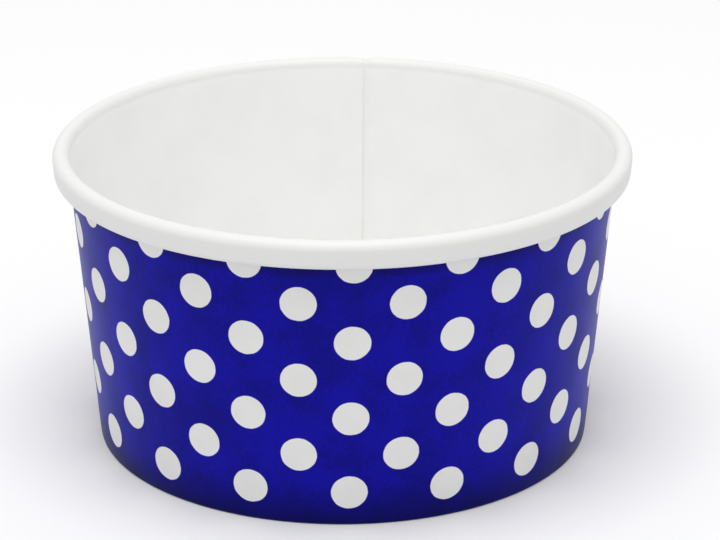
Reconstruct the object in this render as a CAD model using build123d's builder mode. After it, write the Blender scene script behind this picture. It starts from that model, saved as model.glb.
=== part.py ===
from build123d import *
from math import cos, degrees, radians, sin, tan
import os

# A round paper dessert cup made from two pieces of coated board. The sidewall is one
# fan-shaped sheet wrapped into a cone and glued along a lapped seam at the back. Its top
# edge is rolled outwards into a rim, and its bottom edge is folded in and up as a hem.
# The bottom is a disc whose edge is turned down into a skirt, which the hem grips.
# The origin is the centre of the foot, on the surface the cup stands on, and +Z is up.

# Overall size, in millimetres and degrees
rim_diameter = 96.0  # across the outside of the rolled rim
cup_height = 50.4  # from the foot to the top of the rim
wall_draft = 4.75  # how far the wall leans out from upright

# Sheets
wall_board = 0.40
bottom_board = 0.35
seal_film = 0.02  # plastic coating between layers that are sealed together

# Rolled rim, measured over the board
curl_width = 2.85  # from the wall's inner face outwards
curl_height = 4.60
curl_slack = 0.15  # gap left between the wall and the tucked edge
curl_tuck = 1.40  # straight length of the edge tucked up inside the roll

# Foot and bottom
foot_bend = 0.25  # radius of the hem's two folds, at the middle of the board
bottom_recess = 6.50  # from the foot up to the underside of the bottom
hem_gap = 0.90  # from the hem's raw edge up to the underside of the bottom
skirt_gap = 0.15  # from the fold up to the skirt's raw edge
bottom_bend = 0.45  # radius where the bottom turns down, at the middle of the board

# Seam
lap_width = 7.0  # glued overlap of the sheet's two ends
lap_climb = 1.6  # length over which the outer end climbs onto the inner one
seam_angle = 90.0  # where the middle of the lap stands, anticlockwise from +X

draft = radians(wall_draft)
up_wall = Vector(sin(draft), cos(draft))
out_of_wall = Vector(cos(draft), -sin(draft))

# Radii of the rim's rolled section, at the middle of the board
top_roll = (curl_width - wall_board) / 2
tuck_roll = top_roll - (wall_board + curl_slack) / 2
roll_side = curl_height - top_roll - tuck_roll - wall_board

# Where the middle of the wall meets the rim's roll
roll_start = Vector(
    rim_diameter / 2 - wall_board / 2 - top_roll * (1 + cos(draft)),
    cup_height - wall_board / 2 - top_roll * (1 - sin(draft)),
)

# Distances from the middle of the wall in to the middle of the skirt and of the hem
skirt_inset = wall_board / 2 + seal_film + bottom_board / 2
hem_inset = skirt_inset + bottom_board / 2 + seal_film + wall_board / 2
hem_top = bottom_recess - hem_gap
bottom_middle = bottom_recess + bottom_board / 2

# Angles that the lap and the climb take up around the cup
degrees_per_mm = degrees(1 / roll_start.X)
lap_turn = lap_width * degrees_per_mm
climb_turn = lap_climb * degrees_per_mm
lap_start = seam_angle - lap_turn / 2


def beside_wall(height, outward):
    # The point at a height on a line parallel to the wall, a distance outward from it.
    radius = roll_start.X - (roll_start.Y - height) * tan(draft)
    return (radius + outward / cos(draft), height)


def turned_plane(angle):
    # An upright plane through the cup's axis, with its local X pointing outwards.
    outwards = Vector(1, 0, 0).rotate(Axis.Z, angle)
    across = Vector(0, -1, 0).rotate(Axis.Z, angle)
    return Plane(origin=(0, 0, 0), x_dir=outwards, z_dir=across)


def sheet_line(lift):
    # The middle line of the sheet's section, from the hem's raw edge to the edge tucked
    # into the rim. Lift is the step of the outer ply off the inner one in the lap. It
    # stands outside the wall, inside the hem and inside the rim's roll, and both plies
    # are pressed flat at the foot.
    with BuildLine() as section:
        wall_top = roll_start + out_of_wall * lift
        folded = FilletPolyline(
            beside_wall(hem_top, -hem_inset - lift),
            beside_wall(wall_board / 2, -hem_inset - lift),
            beside_wall(wall_board / 2, lift),
            wall_top,
            radius=foot_bend,
        )
        over = JernArc(folded @ 1, up_wall, radius=top_roll - lift, arc_size=-180)
        side = Line(over @ 1, (over @ 1) - up_wall * roll_side)
        under = JernArc(side @ 1, -up_wall, radius=tuck_roll - lift, arc_size=-180)
        Line(under @ 1, (under @ 1) + up_wall * curl_tuck)
    return section.line


with BuildPart() as sidewall:
    # One ply, all the way round but for the lap and the climb
    with BuildSketch(turned_plane(lap_start + lap_turn)):
        trace(sheet_line(0), line_width=wall_board)
    revolve(axis=Axis.Z, revolution_arc=360 - lap_turn - climb_turn)
    # Two plies glued together in the lap
    with BuildSketch(turned_plane(lap_start)):
        trace(sheet_line(0), line_width=wall_board)
        trace(sheet_line(wall_board), line_width=wall_board)
    revolve(axis=Axis.Z, revolution_arc=lap_turn)
    # The outer end climbing over the inner end's cut edge
    with BuildSketch(turned_plane(lap_start - climb_turn)):
        trace(sheet_line(0), line_width=wall_board)
    with BuildSketch(turned_plane(lap_start)):
        trace(sheet_line(wall_board), line_width=wall_board)
    loft(ruled=True)
sidewall.part.label = "sidewall"

with BuildPart() as bottom:
    with BuildSketch(Plane.XZ):
        with BuildLine():
            FilletPolyline(
                (0, bottom_middle),
                beside_wall(bottom_middle, -skirt_inset),
                beside_wall(wall_board + skirt_gap, -skirt_inset),
                radius=bottom_bend,
            )
        trace(line_width=bottom_board)
    revolve(axis=Axis.Z)
bottom.part.label = "bottom"

os.makedirs("parts", exist_ok=True)
export_step(sidewall.part, "parts/sidewall.step")
export_step(bottom.part, "parts/bottom.step")
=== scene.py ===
import math
import bpy
import numpy as np
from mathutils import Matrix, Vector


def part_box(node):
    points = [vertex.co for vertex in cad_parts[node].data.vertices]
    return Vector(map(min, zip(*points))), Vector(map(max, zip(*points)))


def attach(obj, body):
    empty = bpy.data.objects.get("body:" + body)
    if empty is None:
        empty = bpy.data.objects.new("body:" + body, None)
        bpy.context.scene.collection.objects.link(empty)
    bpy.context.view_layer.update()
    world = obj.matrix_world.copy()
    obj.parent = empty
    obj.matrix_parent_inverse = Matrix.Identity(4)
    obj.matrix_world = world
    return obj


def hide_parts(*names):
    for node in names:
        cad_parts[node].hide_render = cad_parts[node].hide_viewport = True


# A paper dessert cup: one printed sheet rolled into the wall, rim and foot, and a plain
# board bottom held in the foot. Sizes are in millimetres until a mesh is made.

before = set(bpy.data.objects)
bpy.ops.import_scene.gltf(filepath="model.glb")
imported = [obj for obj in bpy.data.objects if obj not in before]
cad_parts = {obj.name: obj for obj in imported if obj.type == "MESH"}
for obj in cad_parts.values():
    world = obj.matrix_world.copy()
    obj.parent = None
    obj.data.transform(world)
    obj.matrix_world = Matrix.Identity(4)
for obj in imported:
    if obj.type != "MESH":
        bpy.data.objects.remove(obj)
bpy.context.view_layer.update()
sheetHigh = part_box("sidewall")[1]
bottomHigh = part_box("bottom")[1]
mm = 0.001
print("frame loaded")


# Shapes. Every board is a middle line in section, carried round the cup. A point of a
# section is a complex number: distance from the axis, plus height times 1j.
creaseAngle = math.radians(38)


def smooth(x):
    # Eases from 0 to 1 while x goes from 0 to 1: 3x squared less 2x cubed.
    x = np.clip(x, 0, 1)
    return x * x * (3 - 2 * x)


def addRun(path, end, steps):
    # A straight run: the last point plus equal shares of the way to the end.
    start = path["points"][-1]
    share = np.linspace(0, 1, steps + 1)[1:, None]
    path["points"].extend(start + (end - start) * share)
    path["headings"].extend([path["heading"]] * steps)


def addBend(path, radius, turn, steps):
    # A round bend: the point swings about a centre to the left or right of the heading.
    start = path["points"][-1]
    side = np.sign(turn)
    angle = path["heading"] + turn * np.linspace(0, 1, steps + 1)[1:, None]
    swing = np.exp(1j * path["heading"]) - np.exp(1j * angle)
    path["points"].extend(start + side * 1j * radius * swing)
    path["headings"].extend(list(angle[:, 0]))
    path["heading"] += turn


def startPath(point, heading):
    # One point, and the angle that the path leaves it at.
    return {"points": [point], "headings": [heading], "heading": heading}


def finishPath(path):
    # The points by row, and the direction to the right of the heading at each row.
    right = -1j * np.exp(1j * np.array(path["headings"]))
    return np.array(path["points"]), right[:, None]


def aroundCup(section, angle):
    # Carries a section round the axis: radius times cosine and sine of the angle.
    return np.stack([section.real * np.cos(angle), section.real * np.sin(angle), section.imag], -1)


def makeMesh(name, points, quads, materials, slots):
    # A piece from its points in millimetres, its faces and each face's material number.
    mesh = bpy.data.meshes.new(name)
    mesh.from_pydata((points * mm).tolist(), [], quads)
    for material in materials:
        mesh.materials.append(material)
    mesh.polygons.foreach_set("material_index", np.array(slots, dtype=np.int32))
    mesh.shade_smooth()
    mesh.set_sharp_from_angle(angle=creaseAngle)
    mesh.update()
    piece = bpy.data.objects.new(name, mesh)
    bpy.context.scene.collection.objects.link(piece)
    return piece


def gridQuads(grid, flip=False):
    # Four neighbours of an index grid at a time, in a ring.
    corners = [grid[:-1, :-1], grid[:-1, 1:], grid[1:, 1:], grid[1:, :-1]]
    if flip:
        corners.reverse()
    return np.stack([corner.ravel() for corner in corners], -1)


# Materials
class Wire:
    # A node's output, on which Python's operators add Math nodes.
    def __init__(self, paint, socket):
        self.paint = paint
        self.socket = socket

    def math(self, operation, *others):
        values = dict(enumerate((self, *others)))
        return self.paint.node("ShaderNodeMath", {"operation": operation}, values)

    def __add__(self, other):
        return self.math("ADD", other)

    def __sub__(self, other):
        return self.math("SUBTRACT", other)

    def __rsub__(self, other):
        return self.paint.node("ShaderNodeMath", {"operation": "SUBTRACT"}, {0: other, 1: self})

    def __mul__(self, other):
        return self.math("MULTIPLY", other)

    def __truediv__(self, other):
        return self.math("DIVIDE", other)

    __radd__ = __add__
    __rmul__ = __mul__


class Paint:
    # The nodes of a material or a world. Its node method adds one node: settings, then sockets.
    def __init__(self, owner):
        self.owner = owner
        owner.use_nodes = True
        self.tree = owner.node_tree
        self.tree.nodes.clear()

    def node(self, kind, settings=(), inputs=(), output=0):
        made = self.tree.nodes.new(kind)
        for key, value in dict(settings).items():
            setattr(made, key, value)
        for key, value in dict(inputs).items():
            if isinstance(value, Wire):
                self.tree.links.new(value.socket, made.inputs[key])
            else:
                made.inputs[key].default_value = value
        return Wire(self, made.outputs[output]) if made.outputs else None

    def place(self):
        return self.node("ShaderNodeTexCoord", output="Object")

    def noise(self, where, size, detail=2.0, stretch=(1, 1, 1)):
        # Cloudy noise whose blotches are about size millimetres across.
        scale = tuple(share / (size * mm) for share in stretch)
        spot = self.node("ShaderNodeMapping", inputs={"Vector": where, "Scale": scale})
        return self.node("ShaderNodeTexNoise", inputs={"Vector": spot, "Scale": 1.0, "Detail": detail})

    def step(self, value, low, high):
        # Eases from 0 at low to 1 at high.
        settings = {"interpolation_type": "SMOOTHSTEP"}
        inputs = {"Value": value, "From Min": low, "From Max": high}
        return self.node("ShaderNodeMapRange", settings, inputs)

    def blend(self, mask, first, second):
        # The first colour where the mask is 0, the second where it is 1.
        inputs = {0: mask, 6: first, 7: second}
        return self.node("ShaderNodeMix", {"data_type": "RGBA"}, inputs, output=2)

    def blank(self, part):
        # Part 0 is the angle round the sheet, part 1 the distance up it.
        stored = self.node("ShaderNodeAttribute", {"attribute_name": "blank"}, output="Vector")
        return self.node("ShaderNodeSeparateXYZ", inputs={0: stored}, output=part)

    def seenDirectly(self):
        # 1 for rays from the camera, off a gloss or through clear things, otherwise 0.
        kinds = ("Is Camera Ray", "Is Glossy Ray", "Is Transmission Ray")
        rays = [self.node("ShaderNodeLightPath", output=kind) for kind in kinds]
        return rays[0].math("MAXIMUM", rays[1]).math("MAXIMUM", rays[2])

    def bump(self, height, depth, normal=None):
        # Depth is the height in millimetres of a full step of the value.
        inputs = {"Height": height, "Distance": depth * mm, "Strength": 1.0}
        if normal:
            inputs["Normal"] = normal
        return self.node("ShaderNodeBump", inputs=inputs)

    def finish(self, inputs):
        shader = self.node("ShaderNodeBsdfPrincipled", inputs=inputs)
        self.node("ShaderNodeOutputMaterial", inputs={"Surface": shader})
        return self.owner


def tone(red, green, blue):
    # A screen colour, each part out of 255, as the linear colour that a shader takes.
    parts = np.array([red, green, blue]) / 255
    linear = np.where(parts <= 0.04045, parts / 12.92, ((parts + 0.055) / 1.055) ** 2.4)
    return (*linear.tolist(), 1.0)


board = {
    "coated": tone(249, 249, 248),
    "coatedShade": tone(246, 246, 245),
    # painted shade: the rolled rim's greyer tone
    "rim": tone(226, 226, 225),
    # painted shade: the bottom is toned greyer than the wall's coating, holding down the strong light on
    # the upward disc
    "bottom": tone(226, 226, 224),
    "bottomShade": tone(223, 223, 221),
    "white": tone(229, 229, 228),
    "shade": tone(225, 225, 223),
    "raw": tone(232, 229, 220),
    "rawDark": tone(205, 200, 188),
    "cut": tone(236, 233, 225),
    "cloudFrom": 0.35,  # the noise value at which the white starts to turn to its shade
    "cloudTo": 0.75,
    "rollFrom": -0.5,  # where the rim's painted shade starts, up from the start of the roll
    "rollTo": 1.1,
    "coatedPebble": 0.010,
    "rawPebble": 0.018,
}

pattern = {
    "ink": tone(14, 9, 156),
    "inkDeep": tone(8, 6, 127),
    # the dark ink of the painted shade toward the foot and under the rim
    "inkPaintedShade": tone(5, 4, 62),
    "dotRadius": 2.90,
    "rowPitch": 13.28,  # down the wall, within one column
    "topRow": 45.87,  # up the wall, the row that the rim half covers
    "columnPitch": math.radians(10.97),
    "columnStart": math.radians(1.98),
    "lean": math.radians(0.317),  # how far a column turns from one row to the next
    "leanRow": 2.0,
    "lowestDot": 2.6,  # no dots below this
    "foldedEdge": -1.5,  # the print ends this far round the foot's fold
    "blur": 0.07,
    "wander": 0.12,  # how far a dot's edge strays from a true circle
    "edgeFade": 0.1,
    "mottleFrom": 0.4,
    "mottleTo": 0.65,
    "inkDepth": 0.004,
    "pebble": 0.012,
    "footPaintedShade": (-1.0, 9.0, 0.8),  # painted shade toward the foot: the ink darkens from the second height down to the first
    "rimPaintedShade": (43.2, 44.8, 0.5),  # painted shade under the rim: the ink darkens again from the first height up to the second
}


def coatedBoard(name, bright, shade):
    # White board under a thin clear plastic film: satin, faintly cloudy, faintly pebbled.
    paint = Paint(bpy.data.materials.new(name))
    place = paint.place()
    cloud = paint.noise(place, 9.0, 3.0)
    pebble = paint.noise(place, 0.9, 2.0)
    grain = paint.noise(place, 0.22, 1.0)
    colour = paint.blend(paint.step(cloud, board["cloudFrom"], board["cloudTo"]), bright, shade)
    # Painted shade: the rolled rim is toned greyer than the rest of the board, darkening its top and outer
    # face
    rollHeight = rollStart.imag
    paintedRimShade = paint.step(paint.blank(1), rollHeight + board["rollFrom"], rollHeight + board["rollTo"])
    return paint.finish({
        "Base Color": paint.blend(paintedRimShade, colour, board["rim"]),
        "Roughness": 0.36 + cloud * 0.16,
        "Specular IOR Level": 0.3,
        "Normal": paint.bump(pebble + grain * 0.5, board["coatedPebble"]),
    })


def rawBoard(name, colour, dark):
    # Uncoated pulp: soft clouds of fibre, short flecks and a dry, slightly furry surface.
    paint = Paint(bpy.data.materials.new(name))
    place = paint.place()
    cloud = paint.noise(place, 3.0, 4.0)
    fibre = paint.noise(place, 0.35, 3.0, stretch=(1.0, 0.25, 1.0))
    fleck = paint.step(paint.noise(place, 0.6, 1.0), 0.68, 0.78)
    colour = paint.blend(cloud * 0.35 + fleck * 0.25, colour, dark)
    return paint.finish({
        "Base Color": colour,
        "Roughness": 0.82 + fibre * 0.12,
        "Normal": paint.bump(fibre + cloud * 0.5, board["rawPebble"]),
    })


def nearestDot(row, column, radius, rowShift, columnShift):
    # Distance to the nearest dot of one of the two staggered sets: the square root of the
    # distance down squared plus the distance across squared.
    rowPart = row - rowShift
    columnPart = (column - columnShift) / 2
    down = (rowPart - rowPart.math("ROUND")) * pattern["rowPitch"]
    across = (columnPart - columnPart.math("ROUND")) * radius * (2 * pattern["columnPitch"])
    return (down * down + across * across).math("SQRT")


def printedBoard():
    # The sheet's outer face: blue ink flooded round white dots, under a glossy varnish.
    # A point is ink where the nearest dot is further off than a dot's radius.
    paint = Paint(bpy.data.materials.new("printed_board"))
    place = paint.place()
    rise = paint.blank(1)
    wander = paint.noise(place, 1.1, 1.0)
    row = (pattern["topRow"] - rise) / pattern["rowPitch"]
    turned = paint.blank(0) - pattern["columnStart"] - pattern["lean"] * (pattern["leanRow"] - row)
    column = turned / pattern["columnPitch"]
    radius = rise * math.sin(sheet["draft"]) + footRadius
    even = nearestDot(row, column, radius, 0.0, 0.0)
    odd = nearestDot(row, column, radius, 0.5, 1.0)
    toDot = even.math("MINIMUM", odd) + (wander - 0.5) * pattern["wander"]
    dotEdge = pattern["dotRadius"]
    outside = paint.step(toDot, dotEdge - pattern["blur"], dotEdge + pattern["blur"])
    lowest = pattern["lowestDot"]
    folded = pattern["foldedEdge"]
    low = 1 - paint.step(rise, lowest, lowest + pattern["edgeFade"])
    printed = paint.step(rise, folded, folded + pattern["edgeFade"])
    ink = outside.math("MAXIMUM", low) * printed
    cloud = paint.noise(place, 7.0, 4.0)
    speckle = paint.noise(place, 0.5, 2.0)
    pebble = paint.noise(place, 0.8, 2.0)
    mottle = paint.step(cloud * 0.6 + speckle * 0.4, pattern["mottleFrom"], pattern["mottleTo"])
    blue = paint.blend(mottle, pattern["ink"], pattern["inkDeep"])
    clouded = paint.step(cloud, board["cloudFrom"], board["cloudTo"])
    white = paint.blend(clouded, board["white"], board["shade"])
    footLow, footHigh, footShare = pattern["footPaintedShade"]
    rimLow, rimHigh, rimShare = pattern["rimPaintedShade"]
    # Painted shade: the ink darkens toward the foot and just under the rim, where the cup is shaded
    nearFoot = 1 - paint.step(rise, footLow, footHigh)
    nearRim = paint.step(rise, rimLow, rimHigh)
    blue = paint.blend(nearFoot * footShare + nearRim * rimShare, blue, pattern["inkPaintedShade"])
    filmEdge = paint.bump(ink, pattern["inkDepth"])
    return paint.finish({
        "Base Color": paint.blend(ink, white, blue),
        "Roughness": 0.44 - ink * 0.1 + cloud * 0.08,
        "Specular IOR Level": 0.07,
        "Normal": paint.bump(pebble + speckle * 0.5, pattern["pebble"], filmEdge),
    })


# The sidewall sheet
sheet = {
    "draft": math.radians(4.75),  # lean of the wall
    "board": 0.40,
    "bottomBoard": 0.35,
    "film": 0.02,
    "plyGap": 0.01,
    "curlWidth": 2.85,
    "curlHeight": 4.60,
    "curlSlack": 0.15,
    "curlTuck": 1.40,
    "footBend": 0.25,
    "hemGap": 0.90,
    "lapWidth": 7.0,
    "lapClimb": 1.6,
    "lapEase": 4.5,  # length over which the layers under the lap settle back
    "seamAngle": math.pi / 2,
    "columnStep": math.radians(0.75),
    "columnGap": math.radians(0.1),  # columns closer than this become one
    "pressedEdge": 0.22,  # how much the sealing press thins a board's end
    "pressedWidth": 3.0,
    "knurls": 120,
    "knurlDepth": 0.13,
    "knurlLow": 0.9,
    "knurlHigh": 4.7,
    "knurlFade": 0.8,
    "bandSwell": 0.035,  # the sealed band round the foot stands this proud
    "bandLow": 0.8,
    "bandHigh": 5.6,
    "bandRise": 1.2,
    "bandFall": 1.6,
    "unroundness": 0.05,
    "waveFrom": 8,  # the height where the waves start, and the height they grow over
    "waveOver": 35,
    # Steps along each part of the section
    "hemSteps": 12,
    "foldSteps": 5,
    "footSteps": 2,
    "wallSteps": 22,
    "topSteps": 18,
    "sideSteps": 3,
    "tuckSteps": 14,
    "climbColumns": 8,
    "easeColumns": 12,
}

rimRadius = sheetHigh.x / mm
cupHeight = sheetHigh.z / mm
halfBoard = sheet["board"] / 2
draft = sheet["draft"]
wallHeading = math.pi / 2 - draft
wallWay = np.exp(1j * wallHeading)
outWay = np.exp(-1j * draft)
topRoll = (sheet["curlWidth"] - sheet["board"]) / 2
tuckRoll = topRoll - (sheet["board"] + sheet["curlSlack"]) / 2
rollSide = sheet["curlHeight"] - topRoll - tuckRoll - sheet["board"]
rollStart = complex(
    rimRadius - halfBoard - topRoll * (1 + math.cos(draft)),
    cupHeight - halfBoard - topRoll * (1 - math.sin(draft)),
)
skirtInset = halfBoard + sheet["film"] + sheet["bottomBoard"] / 2
hemInset = 2 * skirtInset
recess = bottomHigh.z / mm - sheet["bottomBoard"]
footRadius = rollStart.real + halfBoard * math.cos(draft) - rollStart.imag * math.tan(draft)


def besideWall(height, outward):
    # The point at a height on a line parallel to the wall's middle.
    radius = rollStart.real - (rollStart.imag - height) * math.tan(draft)
    return radius + outward / math.cos(draft) + 1j * height


def sheetSection(lift, footRaise, tuckShift):
    # The sheet's middle line at each angle, from the hem's raw edge to the tucked edge.
    # Lift steps the outer ply off the inner, inside the hem and inside the roll.
    foot = halfBoard + footRaise
    bend = sheet["footBend"]
    hemReach = bend * math.tan((math.pi / 2 + draft) / 2)
    wallReach = bend * math.tan((math.pi / 2 - draft) / 2)
    hemCorner = besideWall(foot, -hemInset - lift)
    wallCorner = besideWall(foot, lift)
    hemTop = besideWall(recess - sheet["hemGap"], -hemInset - lift)
    path = startPath(hemTop, wallHeading - math.pi)
    addRun(path, hemCorner + wallWay * hemReach, sheet["hemSteps"])
    addBend(path, bend, math.pi / 2 + draft, sheet["foldSteps"])
    addRun(path, wallCorner - wallReach, sheet["footSteps"])
    addBend(path, bend, math.pi / 2 - draft, sheet["foldSteps"])
    wallRow = len(path["points"]) - 1
    addRun(path, rollStart + outWay * lift, sheet["wallSteps"])
    addBend(path, topRoll - lift, -math.pi, sheet["topSteps"])
    addRun(path, path["points"][-1] - wallWay * rollSide, sheet["sideSteps"])
    addBend(path, tuckRoll - lift - tuckShift / 2, -math.pi, sheet["tuckSteps"])
    addRun(path, path["points"][-1] + wallWay * sheet["curlTuck"], sheet["sideSteps"])
    return (*finishPath(path), wallRow)


def buildSheet():
    # The section is carried from the sheet's start, once round and on over the lap. Each
    # face is the middle line, plus or less half a board along the line's right-hand side.
    lapTurn = sheet["lapWidth"] / rollStart.real
    climbTurn = sheet["lapClimb"] / rollStart.real
    easeTurn = sheet["lapEase"] / rollStart.real
    turn = 2 * math.pi
    around = np.unique(np.concatenate([
        np.arange(0, turn + lapTurn, sheet["columnStep"]),
        np.linspace(turn - climbTurn, turn, sheet["climbColumns"]),
        np.linspace(0, easeTurn, sheet["easeColumns"]),
        [lapTurn, turn + lapTurn],
    ]))
    around = around[np.append(np.diff(around) > sheet["columnGap"], True)]
    # How the layers make room for each other where the ends of the sheet lap
    afterLap = smooth((around - lapTurn) / easeTurn)
    beforeLap = smooth((around - turn + climbTurn + easeTurn) / easeTurn)
    ply = sheet["board"] + sheet["plyGap"]
    lift = ply * smooth((around - turn + climbTurn) / climbTurn)
    footRaise = ply * (1 - afterLap)
    tuckShift = sheet["board"] * (1 - afterLap + beforeLap)
    middle, right, wallRow = sheetSection(lift, footRaise, tuckShift)
    angle = around + sheet["seamAngle"] - lapTurn / 2
    height = middle.imag
    # Distance up the sheet, which is zero where the wall's line would meet the floor
    lengths = np.abs(np.diff(middle, axis=0))
    rise = np.vstack([np.zeros_like(around), np.cumsum(lengths, axis=0)])
    rise = rise - rise[wallRow] + height[wallRow] / math.cos(draft)
    # The wall is never quite round: slow waves that grow from the foot to the rim
    wave = np.sin(2 * angle + 0.7) + 0.5 * np.sin(3 * angle + 2.0) + 0.25 * np.sin(7 * angle + 4.1)
    grow = smooth((height - sheet["waveFrom"]) / sheet["waveOver"])
    swell = smooth((height - sheet["bandLow"]) / sheet["bandRise"])
    swell = swell * (1 - smooth((height - sheet["bandHigh"]) / sheet["bandFall"]))
    onWall = np.arange(len(middle))[:, None] > wallRow
    middle = middle + sheet["unroundness"] * wave * grow + sheet["bandSwell"] * swell * onWall
    # Straight knurls pressed into the hem, fading out at its two ends
    rib = 0.5 - 0.5 * np.cos(sheet["knurls"] * angle)
    onHem = np.arange(len(middle))[:, None] <= sheet["hemSteps"]
    pressed = smooth((height - sheet["knurlLow"]) / sheet["knurlFade"])
    pressed = pressed * (1 - smooth((height - sheet["knurlHigh"]) / sheet["knurlFade"]))
    # The sealing press thins the inner ply towards its end, so little of the cut edge shows
    pressedTurn = sheet["pressedWidth"] / rollStart.real
    thinned = sheet["pressedEdge"] * (1 - smooth(around / pressedTurn)) * onWall
    printed = middle + right * (halfBoard - sheet["knurlDepth"] * rib * pressed * onHem)
    coated = middle - right * (halfBoard - thinned)
    points = np.concatenate([aroundCup(side, angle).reshape(-1, 3) for side in (printed, coated)])
    printedGrid = np.arange(middle.size).reshape(middle.shape)
    coatedGrid = printedGrid + middle.size
    cuts = [
        gridQuads(np.stack([coatedGrid[:, 0], printedGrid[:, 0]], -1)),
        gridQuads(np.stack([coatedGrid[:, -1], printedGrid[:, -1]], -1), flip=True),
        gridQuads(np.stack([coatedGrid[0], printedGrid[0]])),
        gridQuads(np.stack([coatedGrid[-1], printedGrid[-1]]), flip=True),
    ]
    parts = [gridQuads(printedGrid), gridQuads(coatedGrid, flip=True), np.concatenate(cuts)]
    slots = np.repeat([0, 1, 2], [len(part) for part in parts])
    materials = [
        printedBoard(),
        coatedBoard("coated_wall", board["coated"], board["coatedShade"]),
        rawBoard("cut_board", board["cut"], board["rawDark"]),
    ]
    piece = makeMesh("printed_sheet", points, np.concatenate(parts).tolist(), materials, slots)
    # The print's own measure of the sheet: angle from the front, and distance up the wall
    fromFront = np.broadcast_to(angle - 1.5 * math.pi, middle.shape)
    blank = np.stack([fromFront, rise, np.zeros_like(rise)], -1).reshape(-1, 3)
    attribute = piece.data.attributes.new("blank", "FLOAT_VECTOR", "POINT")
    attribute.data.foreach_set("vector", np.tile(blank, (2, 1)).astype(np.float32).ravel())
    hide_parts("sidewall")
    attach(piece, "root")


buildSheet()
print("sidewall sheet made")


# The bottom
disc = {
    "bend": 0.45,
    "skirtEnd": 0.95,  # height of the skirt's lower edge, clear of the doubled fold
    "dishRadius": 34.0,
    "dishEase": 2.2,
    "dishDepth": 0.22,
    "pleats": 90,
    "pleatDepth": 0.025,
    "pleatFrom": 38.2,
    "pleatOver": 2.6,
    "pleatEase": 0.1,
    "columns": 360,
    "flatSteps": 8,
    "dishSteps": 10,
    "bendSteps": 7,
    "skirtSteps": 6,
}


def buildBottom():
    # The section runs from the middle out, round the bend and down the skirt, and is
    # carried once round the axis. Its two faces are half a board either side of it.
    half = sheet["bottomBoard"] / 2
    level = recess + half
    corner = besideWall(level, -skirtInset)
    reach = disc["bend"] * math.tan((math.pi / 2 + draft) / 2)
    around = np.linspace(0, 2 * math.pi, disc["columns"], endpoint=False)
    centre = np.zeros_like(around) + 1j * level
    path = startPath(centre, 0.0)
    addRun(path, centre + disc["dishRadius"] - disc["dishEase"], disc["flatSteps"])
    addRun(path, centre + disc["dishRadius"] + disc["dishEase"], disc["dishSteps"])
    addRun(path, centre + corner.real - reach, disc["flatSteps"])
    addBend(path, disc["bend"], -math.pi / 2 - draft, disc["bendSteps"])
    addRun(path, besideWall(disc["skirtEnd"] + np.zeros_like(around), -skirtInset), disc["skirtSteps"])
    middle, right = finishPath(path)
    radius = middle.real
    # The middle is pressed down a little inside a soft ring, and the edge gathers in pleats
    ring = smooth((radius - disc["dishRadius"] + disc["dishEase"]) / (2 * disc["dishEase"]))
    gather = smooth((radius - disc["pleatFrom"]) / disc["pleatOver"])
    gather = gather * smooth((middle.imag - level) / disc["pleatEase"] + 1)
    pleat = np.cos(disc["pleats"] * around) * (0.7 + 0.3 * np.sin(11 * around + 1.0))
    middle = middle - 1j * disc["dishDepth"] * (1 - ring) + 1j * disc["pleatDepth"] * pleat * gather
    # One closed outline: over the top, down the skirt, back underneath to the middle
    outline = np.concatenate([middle - right * half, (middle + right * half)[::-1]])
    rows = len(middle)
    points = aroundCup(outline[1:-1], around).reshape(-1, 3)
    poles = np.array([[0, 0, outline[0, 0].imag], [0, 0, outline[-1, 0].imag]])
    grid = np.arange(len(points)).reshape(2 * rows - 2, -1)
    grid = np.hstack([grid, grid[:, :1]])
    topPole = len(points)
    quads = gridQuads(grid, flip=True).tolist()
    cap = [[topPole, a, b] for a, b in zip(grid[0, :-1].tolist(), grid[0, 1:].tolist())]
    base = [[topPole + 1, b, a] for a, b in zip(grid[-1, :-1].tolist(), grid[-1, 1:].tolist())]
    faceRow = np.repeat(np.arange(1, 2 * rows - 2), disc["columns"])
    slots = np.where(faceRow < rows - 1, 0, np.where(faceRow > rows - 1, 1, 2)).tolist()
    slots += [0] * len(cap) + [1] * len(base)
    materials = [
        coatedBoard("coated_bottom", board["bottom"], board["bottomShade"]),
        rawBoard("uncoated_board", board["raw"], board["rawDark"]),
        bpy.data.materials["cut_board"],
    ]
    piece = makeMesh("bottom_board", np.vstack([points, poles]), quads + cap + base, materials, slots)
    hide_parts("bottom")
    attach(piece, "root")


buildBottom()
print("bottom made")


# Floor, light and camera
white = (1.0, 1.0, 1.0, 1.0)

stage = {
    "floorSize": 6.0,
    "floorTone": (0.86, 0.86, 0.86, 1.0),
    "floorGlow": 0.08,  # share of the floor that the camera sees as plain white
    "skyStrength": 0.70,
    "keyPower": 8.5,
    "keySize": 0.9,
    "keyPlace": (-0.05, -0.20, 1.20),
    "keyAim": (0, 0, 0.03),
}

view = {
    "aim": (2.905, 0.0, 27.36),
    "distance": 500.0,
    "elevation": math.radians(21.43),
    "lens": 148.0,
    "sensor": 36.0,
    "nearest": 0.02,
}


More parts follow.
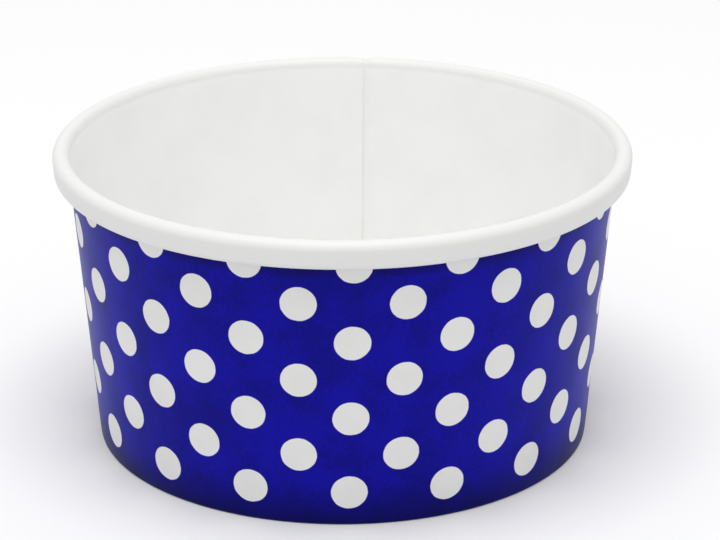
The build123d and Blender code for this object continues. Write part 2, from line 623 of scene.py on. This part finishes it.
def buildFloor():
    # A pale square on the ground, part plain white to the camera so that it fades away.
    paint = Paint(bpy.data.materials.new("floor"))
    matte = paint.node("ShaderNodeBsdfDiffuse", inputs={"Color": stage["floorTone"]})
    glow = paint.node("ShaderNodeEmission", inputs={"Strength": 1.0})
    share = paint.seenDirectly() * stage["floorGlow"]
    mixed = paint.node("ShaderNodeMixShader", inputs={0: share, 1: matte, 2: glow})
    paint.node("ShaderNodeOutputMaterial", inputs={"Surface": mixed})
    half = stage["floorSize"] / 2
    corners = [(-half, -half, 0), (half, -half, 0), (half, half, 0), (-half, half, 0)]
    mesh = bpy.data.meshes.new("floor")
    mesh.from_pydata(corners, [], [(0, 1, 2, 3)])
    mesh.materials.append(paint.owner)
    floor = bpy.data.objects.new("floor", mesh)
    bpy.context.scene.collection.objects.link(floor)


def buildSky():
    # An even white sky that lights at its own strength and is seen as plain white.
    world = bpy.data.worlds.new("sky")
    bpy.context.scene.world = world
    paint = Paint(world)
    inputs = {"Color": white, "Strength": stage["skyStrength"]}
    lit = paint.node("ShaderNodeBackground", inputs=inputs)
    plain = paint.node("ShaderNodeBackground", inputs={"Color": white})
    camera = paint.node("ShaderNodeLightPath", output="Is Camera Ray")
    through = paint.node("ShaderNodeLightPath", output="Is Transmission Ray")
    mixed = paint.node("ShaderNodeMixShader", inputs={0: camera.math("MAXIMUM", through), 1: lit, 2: plain})
    paint.node("ShaderNodeOutputWorld", inputs={"Surface": mixed})


def addLamp(name, place, aim, size, power):
    # A round lamp, in metres and watts, turned so that it faces its aim.
    lamp = bpy.data.lights.new(name, "AREA")
    lamp.shape = "DISK"
    lamp.size = size
    lamp.energy = power
    holder = bpy.data.objects.new(name, lamp)
    holder.location = place
    toward = np.array(aim) - np.array(place)
    flat = math.hypot(toward[0], toward[1])
    holder.rotation_euler = (math.atan2(flat, -toward[2]), 0, math.atan2(-toward[0], toward[1]))
    bpy.context.scene.collection.objects.link(holder)


def buildCamera():
    # Back from its aim by the distance, towards the front and up by the elevation.
    camera = bpy.data.cameras.new("camera")
    camera.lens = view["lens"]
    camera.sensor_width = view["sensor"]
    camera.clip_start = view["nearest"]
    holder = bpy.data.objects.new("camera", camera)
    back = np.array([0, -math.cos(view["elevation"]), math.sin(view["elevation"])])
    holder.location = ((np.array(view["aim"]) + back * view["distance"]) * mm).tolist()
    holder.rotation_euler = (math.pi / 2 - view["elevation"], 0, 0)
    bpy.context.scene.collection.objects.link(holder)
    bpy.context.scene.camera = holder


buildFloor()
buildSky()
addLamp("key_light", stage["keyPlace"], stage["keyAim"], stage["keySize"], stage["keyPower"])
buildCamera()
bpy.context.scene.view_settings.view_transform = "Standard"
print("floor, light and camera made")
